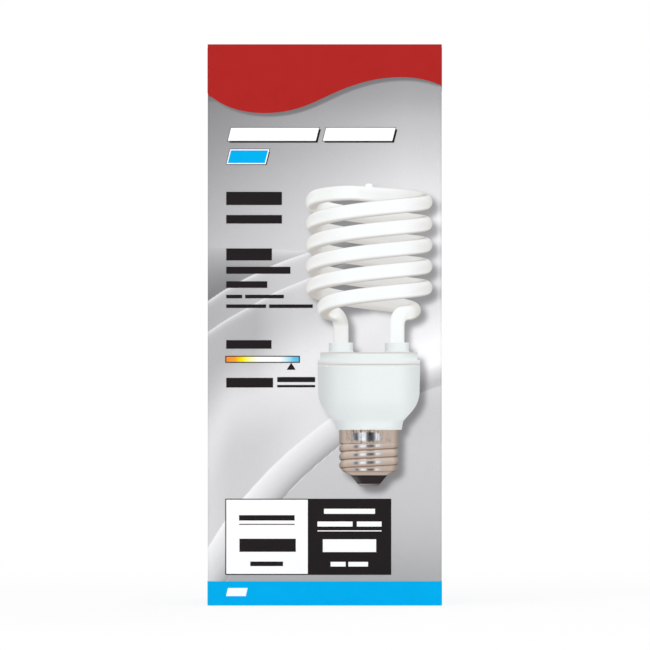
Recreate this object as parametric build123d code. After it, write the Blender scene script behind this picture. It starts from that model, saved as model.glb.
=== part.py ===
from build123d import *
import os
from math import acos, asin, atan2, cos, degrees, radians, sin, tan

# A retail folding carton with a tuck lid, and the compact fluorescent bulb that stands in it.
# All sizes are in millimetres. The origin is the centre of the carton's underside, +Z is up,
# and the printed front faces -Y. Heights on the bulb start at the foot of its centre contact.

# Bulb: centre contact and insulator
contact_radius = 4.6
contact_flat = 2.6
contact_edge = 0.35
contact_stem = 1.4
contact_stem_top = 6.2
insulator_foot = 1.05
insulator_foot_radius = 4.95
insulator_depth = 3.7
insulator_cover = 1.2

# Bulb: screw cap
shell_wall = 0.3
shell_radius = 13.0
shell_foot_radius = 8.0
lip_radius = 11.3
lip_height = 1.65
thread_lead_in = 1.0
thread_root = 12.2
thread_crest = 13.1
thread_pitch = 3.63
thread_turns = 3
thread_sink = 0.12
skirt_height = 6.5
skirt_step = 0.7
stake_count = 6
stake_radius = 0.8
stake_depth = 0.18
stake_drop = 1.8

# Bulb: moulded housing and cover
fit_gap = 0.1
housing_wall = 1.5
spigot_depth = 5.6
neck_step = 1.4
neck_flare = 0.7
neck_height = 3.8
bowl_rise = 13.4
bowl_slope = 40.0
bowl_draft = 0.2
bowl_side = 11.1
seam_gap = 0.15
seam_drop = 2.6
snap_count = 4
snap_width = 1.8
snap_height = 0.5
snap_turn = 35.0
cover_rim = 2.2
cover_step = 1.1
cover_rise = 3.4
cover_deck = 1.6
cover_edge = 0.5
collar_wall = 1.7
collar_fillet = 0.9
collar_rise = 4.3
collar_edge = 0.4
bore_gap = 0.25
cement_wall = 2.0
cement_depth = 3.2
cement_room = 0.7

# Bulb: glass tube
tube_radius = 3.35
spiral_radius = 24.6
spiral_lead = 18.8
spiral_clear = 14.7
spiral_start = 240.0
spiral_end = 1090.0
spiral_corner_count = 38
run_in_radius = 14.5
run_in_angle = 140.0
run_in_corner_count = 4
elbow_radius = 6.0
elbow_drop = 0.3
curl_radius = 10.0
curl_corner_count = 4
crown_rise = 3.1
arc_share = 0.96
exhaust_radius = 1.7
exhaust_rise = 1.3

# Bulb: circuit board and what hangs under it. Its tall parts stand side by side on a ring.
circuit_drop = 8.1
circuit_thickness = 1.6
circuit_gap = 1.6
circuit_notch = 1.3
neighbour_gap = 0.3
rib_count = 4
rib_width = 1.6
rib_overlap = 1.2
rib_height = 5.0
rib_turn = 22.0
tube_lead_length = 3.4
tube_lead_radius = 0.35
tube_lead_spread = 1.5
reservoir_radius = 6.2
reservoir_length = 20.0
reservoir_gap = 1.3
reservoir_edge = 0.7
choke_gap = 1.9
choke_width = 16.0
choke_depth = 5.0
choke_height = 13.0
choke_limb = 2.4
choke_core_width = 4.4
winding_width = 10.6
winding_edge = 1.6
winding_gap = 0.15
ring_radius = 4.5
ring_bore = 2.4
ring_height = 3.6
ring_inset = 6.2
transistor_width = 7.6
transistor_depth = 2.8
transistor_height = 10.5
transistor_inset = 6.2
transistor_count = 2
film_width = 7.0
film_depth = 3.0
film_height = 6.5
film_inset = 6.2
film_count = 3
diode_radius = 1.3
diode_length = 5.0
diode_inset = 2.7
diode_angles = (28.0, 42.0, 138.0, 152.0)
fuse_radius = 1.9
fuse_length = 8.0
fuse_rise = 4.8
lead_radius = 0.45
lead_bend = 2.0
lead_rise = 2.5
contact_lead = (9.0, 0.5)
shell_lead_angle = 190.0
shell_lead_room = 0.8
shell_lead_drop = 3.0

# Carton board. The carton's size comes from the bulb and the room left round it.
board = 0.5
side_room = 1.84
head_room = 9.7
fold_inside = 0.3
crease_radius = 0.35
ink = 0.08

# Lid, tongue and dust flaps
hinge_gap = 0.15
lid_side_gap = 0.1
tongue_gap = 0.2
tongue_length = 13.0
tongue_side_inset = 1.6
tongue_corner = 8.0
slit_length = 5.4
slit_width = 0.25
dust_flap_length = 20.0
dust_flap_taper = 5.0
dust_flap_front_gap = 2.2
dust_flap_back_gap = 1.2
dust_flap_corner = 2.0

# Glued bottom and glue seam
side_flap_length = 27.5
inner_flap_length = 44.0
flap_taper = 9.0
glue_flap_width = 14.0
glue_flap_taper = 5.0
glue_flap_foot_gap = 2.0
glue_flap_end_gap = 12.0
seam_width = 0.2
seam_depth = 0.25
bottom_edge_inset = 1.2

# Printed fields. The header's edge is measured down from the top: how far across, how deep.
foot_band_height = 6.26
header_left = 12.75
header_right = 10.7
header_wave = ((-24.0, 16.5), (-16.2, 17.8), (-6.4, 16.4), (4.0, 11.9), (19.5, 8.5))
side_wave = ((-14.0, 13.0), (12.0, 11.2))

# Printed front. Strips stand in the places of lines of print. Each is given by how far it starts
# from the left margin, its length, its middle height above the carton's foot and its thickness.
margin = 4.8
line_weight = 0.25
slant = 14.0
shadow_shift = 0.45
title_strips = ((0.8, 22.8, 122.0, 3.4), (25.4, 18.0, 122.0, 3.4))
title_blue_strip = (0.8, 9.6, 116.2, 3.3)
foot_strip = (0.2, 5.1, 3.5, 2.1)
dark_strips = (
    (0.0, 14.4, 105.4, 3.4),
    (0.0, 14.4, 100.0, 2.2),
    (0.0, 11.8, 90.9, 3.1),
    (0.0, 16.6, 86.8, 1.8),
    (0.0, 10.6, 83.1, 1.7),
    (0.0, 4.1, 80.0, 0.9),
    (4.9, 10.0, 80.0, 0.9),
    (0.0, 10.3, 77.5, 0.9),
    (11.1, 11.3, 77.5, 0.9),
    (0.0, 11.7, 67.6, 2.2),
    (0.0, 12.1, 57.7, 2.5),
    (13.2, 9.8, 58.5, 1.3),
    (13.2, 9.8, 56.8, 0.6),
)
white_panel_strips = ((3.3, 14.4, 22.7, 1.4), (3.4, 14.6, 15.6, 3.4), (6.2, 8.5, 10.8, 1.2))
black_panel_strips = (
    (4.2, 13.2, 24.4, 1.3),
    (2.5, 9.1, 21.1, 1.3),
    (12.7, 6.4, 21.1, 1.3),
    (3.9, 13.8, 15.5, 3.3),
    (5.9, 3.9, 10.7, 1.2),
    (10.5, 5.1, 10.7, 1.2),
)
white_panel_rule = (3.3, 14.4, 20.9)
black_panel_rule = (2.5, 16.6, 19.2)
panel_foot = 8.2
panel_top = 27.4
panel_divide = 21.1
scale_foot = 63.1
scale_top = 64.4
scale_length = 18.8
scale_warm_share = 0.28
scale_cool_share = 0.22
pointer_offset = 16.8
pointer_width = 2.3
pointer_height = 1.8
picture_edge_gap = 2.4
picture_foot = 30.9
picture_scale = 0.589

# Worked out from the sizes above: the bulb
shell_foot = insulator_foot + insulator_depth
lip_top = shell_foot + lip_height
thread_foot = lip_top + thread_lead_in
thread_top = thread_foot + thread_turns * thread_pitch
neck_foot = thread_top + skirt_height
neck_top = neck_foot + neck_height
bowl_top = neck_top + bowl_rise
seam_height = bowl_top + bowl_side
step_height = seam_height + seam_gap + cover_rim
cover_top = step_height + cover_rise
collar_top = cover_top + collar_rise
leg = (
    Vector(spiral_radius - run_in_radius, 0).rotate(Axis.Z, spiral_start)
    + Vector(run_in_radius, 0).rotate(Axis.Z, run_in_angle)
    + Vector(elbow_radius, 0).rotate(Axis.Z, run_in_angle - 90.0)
)
bowl_radius = leg.length + tube_radius + cement_wall + cement_room + 2 * housing_wall + fit_gap - bowl_draft
spigot_radius = shell_radius - shell_wall - fit_gap
neck_radius = shell_radius + neck_step
neck_top_radius = neck_radius + neck_flare
seam_radius = bowl_radius + bowl_draft
step_radius = seam_radius - cover_step
circuit_foot = seam_height - circuit_drop
circuit_top = circuit_foot + circuit_thickness
circuit_radius = bowl_radius - housing_wall - circuit_gap
reservoir_y = film_inset + film_depth / 2 + reservoir_gap + reservoir_radius - circuit_radius
choke_y = reservoir_y + reservoir_radius + choke_gap + winding_width / 2
shell_lead_radius = circuit_radius - ring_inset - ring_radius - shell_lead_room
leg_foot = circuit_top + tube_lead_length
fuse_foot = contact_stem_top + fuse_rise
fuse_top = fuse_foot + fuse_length
spiral_low = collar_top + spiral_clear
spiral_slope = spiral_lead / 360.0
crown_height = spiral_low + (spiral_end - 180.0) * spiral_slope + crown_rise
bulb_height = crown_height + tube_radius + exhaust_rise

# Worked out from the sizes above: the carton
bulb_seat = 3 * board
carton_width = 2 * (spiral_radius + tube_radius + side_room + board)
carton_depth = carton_width
carton_height = bulb_seat + bulb_height + head_room + 2 * board
half_width = carton_width / 2
half_depth = carton_depth / 2
inner_half_width = half_width - board
inner_half_depth = half_depth - board
fold_radius = board + fold_inside
crease = min(crease_radius, 0.9 * board)
flap_level = carton_height - board
hinge_y = half_depth - board / 2
hinge_z = carton_height - board / 2
tongue_radius = hinge_y + inner_half_depth - tongue_gap
left_margin = margin - half_width
panel_length = panel_divide + 2 * black_panel_rule[0] + black_panel_rule[1]
picture_axis = half_width - picture_edge_gap - picture_scale * (spiral_radius + tube_radius)


# Shared helpers


def polar(radius, angle, centre=(0.0, 0.0)):
    """A point at a radius and an angle in degrees about a centre."""
    return (centre[0] + radius * cos(radians(angle)), centre[1] + radius * sin(radians(angle)))


def block(x_range, y_range, z_range):
    """A box given by its lowest and highest x, y and z."""
    spans = [sorted(pair) for pair in (x_range, y_range, z_range)]
    middle = [(low + high) / 2 for low, high in spans]
    return Pos(*middle) * Box(*[high - low for low, high in spans])


def area(*curves):
    """A flat face inside curves that join end to end."""
    return make_face([edge for curve in curves for edge in curve.edges()])


def turned(*curves):
    """A solid turned about the Z axis from a closed outline of radius and height."""
    return revolve(Plane.XZ * area(*curves), Axis.Z)


def pin(radius, low, high, at=(0.0, 0.0)):
    """An upright cylinder between two heights."""
    return Pos(at[0], at[1], (low + high) / 2) * Cylinder(radius, high - low)


# Bulb: glass tube


def spiral_height(angle):
    """Height of the spiral's centre line at an angle along one start."""
    return spiral_low + (angle - 180.0) * spiral_slope


def arc_corners(centre, radius, angle_from, angle_to, count):
    """Corners of straight runs that touch an arc, each with the angle where it stands."""
    step = (angle_to - angle_from) / count
    reach = radius / cos(radians(step / 2))
    angles = [angle_from + (k + 0.5) * step for k in range(count)]
    return [(*polar(reach, angle, centre), angle) for angle in angles]


def half_tube_route():
    """Corners and bend radii from the foot of one leg to the middle of the tube's crown."""
    corners = [(leg.X, leg.Y, leg_foot), (leg.X, leg.Y, spiral_height(run_in_angle) - elbow_drop)]
    bends = [elbow_radius * arc_share]
    run_in_centre = polar(spiral_radius - run_in_radius, spiral_start)
    stretches = [
        (run_in_centre, run_in_radius, run_in_angle, spiral_start, run_in_corner_count),
        ((0.0, 0.0), spiral_radius, spiral_start, spiral_end, spiral_corner_count),
    ]
    for centre, radius, angle_from, angle_to, count in stretches:
        for x, y, angle in arc_corners(centre, radius, angle_from, angle_to, count):
            corners.append((x, y, spiral_height(angle)))
            bends.append(radius * arc_share)
    curl_centre = polar(spiral_radius - curl_radius, spiral_end)
    curl_angle = degrees(acos(-curl_radius / (spiral_radius - curl_radius)))
    curl = arc_corners(curl_centre, curl_radius, spiral_end, spiral_end + curl_angle, curl_corner_count)
    climb = crown_height - spiral_height(spiral_end)
    for index, (x, y, _) in enumerate(curl, 1):
        still_to_climb = climb * (1 - index / (curl_corner_count + 1)) ** 2
        corners.append((x, y, crown_height - still_to_climb))
        bends.append(curl_radius * arc_share)
    return corners, bends


def discharge_tube():
    """The sealed glass tube: two legs, a spiral with two starts, the crown and the exhaust tip."""
    corners, bends = half_tube_route()
    corners += [(-x, -y, z) for x, y, z in reversed(corners)]
    bends += list(reversed(bends))
    route = FilletPolyline(*corners, radius=bends)
    section = Plane(origin=corners[0], z_dir=(0, 0, 1)) * Circle(tube_radius)
    tube = sweep(section, path=Wire(route.edges()))
    shoulder = (exhaust_radius, crown_height + tube_radius)
    peak = (0, crown_height + tube_radius + exhaust_rise)
    tip = turned(
        Polyline(peak, (0, crown_height), (exhaust_radius, crown_height), shoulder),
        Spline(shoulder, peak, tangents=[(0, 1), (-1, 0)]),
    )
    return tube + tip


def both_legs():
    """The two places where a leg passes through the cover, each below the end of its elbow."""
    return [(leg.X, leg.Y), (-leg.X, -leg.Y)]


def tube_cement(place):
    """A ring of cement under the cover that holds one leg."""
    high = cover_top - cover_deck
    ring = pin(tube_radius + cement_wall, high - cement_depth, high, place)
    return ring - pin(tube_radius + fit_gap / 2, high - 2 * cement_depth, high + 1, place)


# Bulb: moulded housing and cover


def housing_side(inset):
    """The housing's side from its neck to its seam, moved inwards by an inset."""
    steep = (sin(radians(bowl_slope)), cos(radians(bowl_slope)))
    neck = (neck_top_radius - inset, neck_top)
    shoulder = (bowl_radius - inset, bowl_top)
    return [
        Spline(neck, shoulder, tangents=[steep, (0, 1)]),
        Line(shoulder, (seam_radius - inset, seam_height)),
    ]


def housing_body():
    """The housing as if it were solid."""
    spigot_foot = neck_foot - spigot_depth
    lower = Polyline((0, seam_height), (0, spigot_foot), (spigot_radius, spigot_foot),
                     (spigot_radius, neck_foot), (neck_radius, neck_foot), (neck_top_radius, neck_top))
    return turned(lower, *housing_side(0), Line((seam_radius, seam_height), (0, seam_height)))


def housing_hollow():
    """The space inside the housing, open at both ends."""
    spigot_foot = neck_foot - spigot_depth - 1
    bore = spigot_radius - housing_wall
    mouth = seam_radius - housing_wall
    lower = Polyline((0, seam_height + 1), (0, spigot_foot), (bore, spigot_foot),
                     (bore, neck_foot + housing_wall), (neck_top_radius - housing_wall, neck_top))
    upper = Polyline((mouth, seam_height), (mouth, seam_height + 1), (0, seam_height + 1))
    return turned(lower, *housing_side(housing_wall), upper)


def board_ribs():
    """Ribs inside the housing whose tops carry the circuit board."""
    inner = circuit_radius - rib_overlap
    foot_height = circuit_foot - rib_height
    rib = block((inner, seam_radius), (-rib_width / 2, rib_width / 2), (foot_height, circuit_foot))
    rib -= Pos(inner, 0, foot_height) * Rot(0, 45, 0) * Box(2 * rib_overlap, 2 * rib_width, 2 * rib_overlap)
    return [Rot(0, 0, rib_turn + k * 360 / rib_count) * rib for k in range(rib_count)]


def ballast_housing():
    """The moulded bowl with the neck and spigot that carry the screw cap."""
    body = housing_body()
    housing = body - housing_hollow()
    for rib in board_ribs():
        housing += rib & body
    slot = block((seam_radius - housing_wall / 2, seam_radius + 1), (-snap_width / 2, snap_width / 2),
                 (seam_height - snap_height, seam_height + 1))
    for k in range(snap_count):
        housing -= Rot(0, 0, snap_turn + k * 360 / snap_count) * slot
    circles = housing.edges().filter_by(GeomType.CIRCLE)
    neck_rim = circles.filter_by(lambda e: abs(e.radius - neck_radius) + abs(e.center().Z - neck_foot) < 0.01)
    return fillet(neck_rim, neck_step / 4)


def collar_body(place):
    """The collar round one leg as a solid post with a flared foot."""
    radius = tube_radius + bore_gap + collar_wall
    foot = radius + collar_fillet
    edge = collar_top - collar_edge
    flare = cover_top + collar_fillet
    sunk = cover_top - cover_deck / 2
    post = turned(
        Polyline((0, sunk), (0, collar_top), (radius - collar_edge, collar_top)),
        ThreePointArc((radius - collar_edge, collar_top),
                      polar(collar_edge, 45, (radius - collar_edge, edge)), (radius, edge)),
        Line((radius, edge), (radius, flare)),
        ThreePointArc((radius, flare), polar(collar_fillet, 225, (foot, flare)), (foot, cover_top)),
        Polyline((foot, cover_top), (foot, sunk), (0, sunk)),
    )
    return Pos(place[0], place[1], 0) * post


def upper_cover():
    """The moulded cover: a rim, a stepped top with two collars, and a skirt inside the housing."""
    rim_foot = seam_height + seam_gap
    skirt_foot = seam_height - seam_drop
    skirt_radius = seam_radius - housing_wall - fit_gap
    bore = skirt_radius - housing_wall
    deck_foot = cover_top - cover_deck
    edge_centre = (step_radius - cover_edge, cover_top - cover_edge)
    body = turned(
        Polyline((skirt_radius, rim_foot), (skirt_radius, skirt_foot), (bore, skirt_foot), (bore, deck_foot),
                 (0, deck_foot), (0, cover_top), (edge_centre[0], cover_top)),
        ThreePointArc((edge_centre[0], cover_top), polar(cover_edge, 45, edge_centre),
                      (step_radius, edge_centre[1])),
        Polyline((step_radius, edge_centre[1]), (step_radius, step_height), (seam_radius, step_height),
                 (seam_radius, rim_foot), (skirt_radius, rim_foot)),
    )
    for place in both_legs():
        body += collar_body(place)
    for place in both_legs():
        body -= pin(tube_radius + bore_gap, deck_foot - 1, collar_top + 1, place)
    return body


# Bulb: screw cap


def shell_side(inset):
    """The screw shell's side without its thread, moved inwards by an inset."""
    return [
        (shell_foot_radius, shell_foot + inset),
        (lip_radius - inset, lip_top + inset),
        (thread_root - inset, thread_foot),
        (thread_root - inset, thread_top),
        (shell_radius - inset, thread_top + skirt_step),
        (shell_radius - inset, neck_foot),
    ]


def thread_ridge():
    """The rolled thread's ridge, wound round the shell."""
    path = Helix(thread_pitch, thread_turns * thread_pitch, thread_root, center=(0, 0, thread_foot))
    half = thread_pitch * 0.45
    sink = thread_root - shell_wall / 2
    ridge = area(
        ThreePointArc((thread_root, -half), (thread_crest, 0), (thread_root, half)),
        Polyline((thread_root, half), (sink, half - thread_sink), (sink, -half + thread_sink),
                 (thread_root, -half)),
    )
    section = Plane(origin=(0, 0, thread_foot), x_dir=(1, 0, 0), z_dir=(0, -1, 0)) * ridge
    return sweep(section, path=path, is_frenet=True)


def screw_cap_shell():
    """The thin metal screw shell with its rolled thread and its staked skirt."""
    outside = shell_side(0)
    inside = shell_side(shell_wall)
    shell = turned(Polyline(*outside, *reversed(inside), outside[0]))
    reach = thread_crest + shell_wall
    ends = pin(reach, 0, thread_foot) + pin(reach, thread_top + skirt_step, neck_top)
    shell += thread_ridge() - ends
    dimple = Pos(shell_radius + stake_radius - stake_depth, 0, neck_foot - stake_drop) * Sphere(stake_radius)
    for k in range(stake_count):
        shell -= Rot(0, 0, k * 360 / stake_count) * dimple
    return shell


def cap_insulator():
    """The dark glass that fills the foot of the shell and carries the centre contact."""
    hole = contact_stem + fit_gap
    mouth = shell_foot_radius - fit_gap
    lip_inside = lip_radius - shell_wall - fit_gap
    return turned(Polyline(
        (hole, insulator_foot),
        (insulator_foot_radius, insulator_foot),
        (mouth, shell_foot),
        (mouth, shell_foot + shell_wall + fit_gap),
        (lip_inside, lip_top + shell_wall + fit_gap),
        (lip_inside, lip_top + insulator_cover),
        (hole, lip_top + insulator_cover),
        (hole, insulator_foot),
    ))


def centre_contact():
    """The soldered contact button with its stem."""
    side = insulator_foot - contact_edge
    return turned(
        Polyline((0, contact_stem_top), (0, 0), (contact_flat, 0)),
        Bezier((contact_flat, 0), (contact_radius, 0), (contact_radius, side)),
        Polyline((contact_radius, side), (contact_radius, insulator_foot), (contact_stem, insulator_foot),
                 (contact_stem, contact_stem_top), (0, contact_stem_top)),
    )


# Bulb: circuit


def circuit_board():
    """The round board, notched between the ribs that it rests on."""
    disc = pin(circuit_radius, circuit_foot, circuit_top)
    for k in range(rib_count):
        angle = rib_turn + (k + 0.5) * 360 / rib_count
        disc -= pin(circuit_notch, circuit_foot - 1, circuit_top + 1, polar(circuit_radius, angle))
    return disc


def beside(width, depth, inset):
    """The angle from a flat piece's middle to half the gap past its edge."""
    return degrees(atan2((width + neighbour_gap) / 2, circuit_radius - inset - depth / 2))


def transistor_angles():
    """Where the transistors stand, one beside the other."""
    step = 2 * beside(transistor_width, transistor_depth, transistor_inset)
    return [-k * step for k in range(transistor_count)]


def film_angles():
    """Where the film capacitors stand, next to the last transistor."""
    half = beside(film_width, film_depth, film_inset)
    first = transistor_angles()[-1] - beside(transistor_width, transistor_depth, transistor_inset) - half
    return [first - 2 * k * half for k in range(film_count)]


def ring_angle():
    """Where the drive ring stands, next to the last film capacitor."""
    half = degrees(asin((ring_radius + neighbour_gap / 2) / (circuit_radius - ring_inset)))
    return film_angles()[-1] - beside(film_width, film_depth, film_inset) - half


def hang(shape, inset, angle):
    """Moves a piece out to its ring under the board and turns it to face the centre."""
    return Rot(0, 0, angle) * Pos(circuit_radius - inset, 0, 0) * shape


def reservoir_capacitor():
    """The electrolytic capacitor that reaches down into the neck."""
    can = pin(reservoir_radius, circuit_foot - reservoir_length, circuit_foot, (0, reservoir_y))
    return fillet(can.edges().group_by(Axis.Z)[0], reservoir_edge)


def choke_core():
    """The choke's ferrite: two outer limbs, a middle limb and the yokes that join them."""
    low = circuit_foot - choke_height
    window = (choke_width - choke_core_width) / 2 - choke_limb
    core = block((-choke_width / 2, choke_width / 2), (choke_y - choke_depth / 2, choke_y + choke_depth / 2),
                 (low, circuit_foot))
    for side in (1, -1):
        inner = side * choke_core_width / 2
        core -= block((inner, inner + side * window), (choke_y - choke_depth, choke_y + choke_depth),
                      (low + choke_limb, circuit_foot - choke_limb))
    return core


def choke_winding():
    """The wound bobbin round the choke's middle limb."""
    low = circuit_foot - choke_height + choke_limb + winding_gap
    high = circuit_foot - choke_limb - winding_gap
    outline = RectangleRounded(winding_width, winding_width, winding_edge)
    outline -= Rectangle(choke_core_width + 2 * winding_gap, choke_depth + 2 * winding_gap)
    return Pos(0, choke_y, low) * extrude(outline, high - low)


def drive_ring():
    """The small ferrite ring that drives the transistors."""
    ring = pin(ring_radius, circuit_foot - ring_height, circuit_foot)
    ring -= pin(ring_bore, circuit_foot - 2 * ring_height, circuit_foot + 1)
    ring = fillet(ring.edges().filter_by(GeomType.CIRCLE).group_by(Axis.Z)[0], ring_height / 6)
    return hang(ring, ring_inset, ring_angle())


def switching_transistor(angle):
    """One flat-backed switching transistor."""
    half = transistor_width / 2
    body = block((-transistor_depth / 2, transistor_depth / 2), (-half, half),
                 (circuit_foot - transistor_height, circuit_foot))
    face = body.edges().filter_by(Axis.Z).group_by(Axis.X)[-1]
    return hang(chamfer(face, transistor_depth / 4), transistor_inset, angle)


def film_capacitor(angle):
    """One dipped film capacitor."""
    body = block((-film_depth / 2, film_depth / 2), (-film_width / 2, film_width / 2),
                 (circuit_foot - film_height, circuit_foot))
    body = fillet(body.edges().filter_by(Axis.Z), film_depth / 3)
    return hang(fillet(body.edges().group_by(Axis.Z)[0], film_depth / 4), film_inset, angle)


def rectifier_diode(angle):
    """One diode, standing on the board's underside."""
    place = polar(circuit_radius - diode_inset, angle)
    return pin(diode_radius, circuit_foot - diode_length, circuit_foot, place)


def fuse_resistor():
    """The fusible resistor that stands in the cap, on the lead to the centre contact."""
    body = pin(fuse_radius, fuse_foot, fuse_top)
    return fillet(body.edges().filter_by(GeomType.CIRCLE), fuse_radius / 4)


def wire(corners):
    """A round lead along straight runs joined by bends."""
    route = FilletPolyline(*corners, radius=lead_bend)
    start = Vector(*corners[1]) - Vector(*corners[0])
    section = Plane(origin=corners[0], z_dir=start) * Circle(lead_radius)
    return sweep(section, path=Wire(route.edges()))


def base_lead_contact():
    """The lead from the centre contact through the fuse resistor to the board."""
    turn = fuse_top + lead_rise
    bend = (*contact_lead, turn + lead_rise)
    upper = wire([(0, 0, fuse_top), (0, 0, turn), bend, (*contact_lead, circuit_foot)])
    return Compound([pin(lead_radius, contact_stem_top, fuse_foot).solid(), upper.solid()])


def base_lead_shell():
    """The lead from the inside of the screw shell to the board."""
    height = thread_top - shell_lead_drop
    wall = polar(thread_root - shell_wall - lead_radius / 2, shell_lead_angle)
    inner = polar(shell_lead_radius, shell_lead_angle)
    return wire([(*wall, height), (*inner, height), (*inner, circuit_foot)])


def tube_lead(place, side):
    """One of the two leads from a tube end to the board."""
    return pin(tube_lead_radius, circuit_top, leg_foot, (place[0], place[1] + side * tube_lead_spread))


# Carton


def outer_profile(extra=0.0):
    """The carton's outside, seen from above, grown by a layer of ink where one is asked for."""
    return RectangleRounded(carton_width + 2 * extra, carton_depth + 2 * extra, fold_radius + extra)


def dust_flap(side):
    """One of the two flaps that fold in under the lid, at the right (1) or the left (-1)."""
    fold_x = inner_half_width
    tip_x = fold_x - dust_flap_length
    front_y = -inner_half_depth + dust_flap_front_gap
    back_y = inner_half_depth - dust_flap_back_gap
    face = Polygon(
        (side * (fold_x + board / 2), front_y),
        (side * (fold_x - dust_flap_taper), front_y),
        (side * tip_x, front_y + dust_flap_taper),
        (side * tip_x, back_y - dust_flap_taper),
        (side * (fold_x - dust_flap_taper), back_y),
        (side * (fold_x + board / 2), back_y),
        align=None,
    )
    tips = face.vertices().filter_by(lambda v: abs(v.X) < tip_x + board)
    return extrude(Pos(0, 0, flap_level - board) * fillet(tips, dust_flap_corner), board)


def bottom_layers():
    """The glued flaps on the outer bottom flap: two side flaps, then the inner flap."""
    layers = []
    for side in (1, -1):
        fold_x = side * (half_width - board / 2)
        tip_x = side * (inner_half_width - side_flap_length)
        wide = inner_half_depth
        narrow = wide - flap_taper
        face = Polygon((fold_x, -wide), (tip_x, -narrow), (tip_x, narrow), (fold_x, wide), align=None)
        layers.append(extrude(Pos(0, 0, board) * face, board))
    fold_y = -half_depth + board / 2
    tip_y = -inner_half_depth + inner_flap_length
    wide = inner_half_width
    face = Polygon((-wide, fold_y), (wide, fold_y), (wide - flap_taper, tip_y), (-wide + flap_taper, tip_y),
                   align=None)
    layers.append(extrude(Pos(0, 0, 2 * board) * face, board))
    return layers


def glue_flap():
    """The strip that joins the blank's two ends, glued inside the left wall at the back corner."""
    y_high = inner_half_depth + board / 2
    y_low = inner_half_depth - glue_flap_width
    z_low = bulb_seat + glue_flap_foot_gap
    z_high = carton_height - glue_flap_end_gap
    face = Polygon((y_low, z_low + glue_flap_taper), (y_high, z_low), (y_high, z_high),
                   (y_low, z_high - glue_flap_taper), align=None)
    return Pos(-inner_half_width - board / 2, 0, 0) * extrude(Plane.YZ * face, 1.5 * board)


def seam_lines():
    """The line of the glued wall's raw edge, and the free edges of the outer bottom flap."""
    x_edge = half_width - bottom_edge_inset
    y_edge = -half_depth + bottom_edge_inset
    flap_side = (y_edge, half_depth - fold_radius)
    return [
        block((-inner_half_width, -inner_half_width + seam_width), (half_depth - seam_depth, half_depth + 1),
              (bulb_seat, carton_height)),
        block((-x_edge, x_edge), (y_edge, y_edge + seam_width), (-1, seam_depth)),
        block((x_edge - seam_width, x_edge), flap_side, (-1, seam_depth)),
        block((-x_edge, seam_width - x_edge), flap_side, (-1, seam_depth)),
    ]


def wall_limits():
    """The space that the walls may fill: the front wall, and the lower walls behind it."""
    across = (-half_width, half_width)
    front = block(across, (-half_depth, -inner_half_depth), (0, carton_height))
    side_view = Pos(0, flap_level / 2) * Rectangle(carton_width, flap_level)
    side_view = fillet(side_view.vertices().group_by(Axis.Y)[-1], crease)
    behind = extrude(Plane.XZ * side_view, half_depth, both=True)
    behind &= block(across, (-inner_half_depth, half_depth), (0, flap_level))
    behind -= block(across, (inner_half_depth - board, half_depth), (flap_level - hinge_gap, flap_level))
    return front + behind


def carton_sleeve():
    """The folded and glued blank, apart from its lid."""
    body = extrude(outer_profile(), carton_height)
    hollow = RectangleRounded(2 * inner_half_width, 2 * inner_half_depth, fold_inside)
    body -= extrude(Pos(0, 0, board) * hollow, carton_height)
    body &= wall_limits()
    for side in (1, -1):
        body += dust_flap(side)
    for layer in bottom_layers():
        body += layer
    body += glue_flap()
    for line in seam_lines():
        body -= line
    return body


def hinge_roll(radius, length):
    """A cylinder about the lid's fold line."""
    return Pos(0, hinge_y, hinge_z) * Rot(0, 90, 0) * Cylinder(radius, length)


def lid_tongue():
    """The tuck tongue, bent to the arc that it swings on, so that it slides in and out."""
    half = half_width - tongue_side_inset
    low = carton_height - tongue_length
    high = carton_height + 2 * tongue_corner
    outline = Pos(0, (low + high) / 2) * RectangleRounded(2 * half, high - low, tongue_corner)
    blank = extrude(Plane.XZ * outline, half_depth)
    blank &= block((-half_width, half_width), (-half_depth, 0), (low, hinge_z))
    roll = hinge_roll(tongue_radius, carton_width) - hinge_roll(tongue_radius - board, carton_width)
    tongue = roll & blank
    for side in (1, -1):
        cut = (side * (half - slit_length), side * carton_width)
        tongue -= block(cut, (-half_depth, 0), (flap_level - slit_width, flap_level))
    return tongue


def carton_lid():
    """The tuck lid with its tongue and the rounded fold that it turns on."""
    edge = half_width - lid_side_gap
    plate = block((-edge, edge), (-half_depth, hinge_y), (flap_level, carton_height))
    plate &= hinge_roll(tongue_radius, carton_width)
    lid = plate + hinge_roll(board / 2, 2 * edge) + lid_tongue()
    fold = lid.edges().filter_by(Axis.X).group_by(Axis.Z)[-1].sort_by(Axis.Y)[0]
    return fillet(fold, crease)


# Print


def on_front(shape, depth=ink):
    """Lays a flat shape, drawn with x across and z up, on the front wall as a layer of ink."""
    face = Plane((0, -half_depth + depth - ink, 0), x_dir=(1, 0, 0), z_dir=(0, -1, 0)) * shape
    return extrude(face, depth, dir=(0, -1, 0))


def inked(shapes):
    """A layer of ink for each of several flat shapes, kept as one group of separate solids."""
    return Compound([solid for shape in shapes for solid in on_front(shape).solids()])


def bar(left, right, low, high, lean=0.0):
    """A plain bar, upright or slanted like italic print."""
    shift = (high - low) / 2 * tan(radians(lean))
    return Polygon((left - shift, low), (right - shift, low), (right + shift, high), (left + shift, high),
                   align=None)


def strip(row, lean=0.0):
    """A bar that stands in the place of a line of print."""
    start, length, middle, thickness = row
    left = left_margin + start
    return bar(left, left + length, middle - thickness / 2, middle + thickness / 2, lean)


def rule(row):
    """A thin line under a line of print."""
    start, length, height = row
    left = left_margin + start
    return bar(left, left + length, height, height + line_weight)


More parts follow.
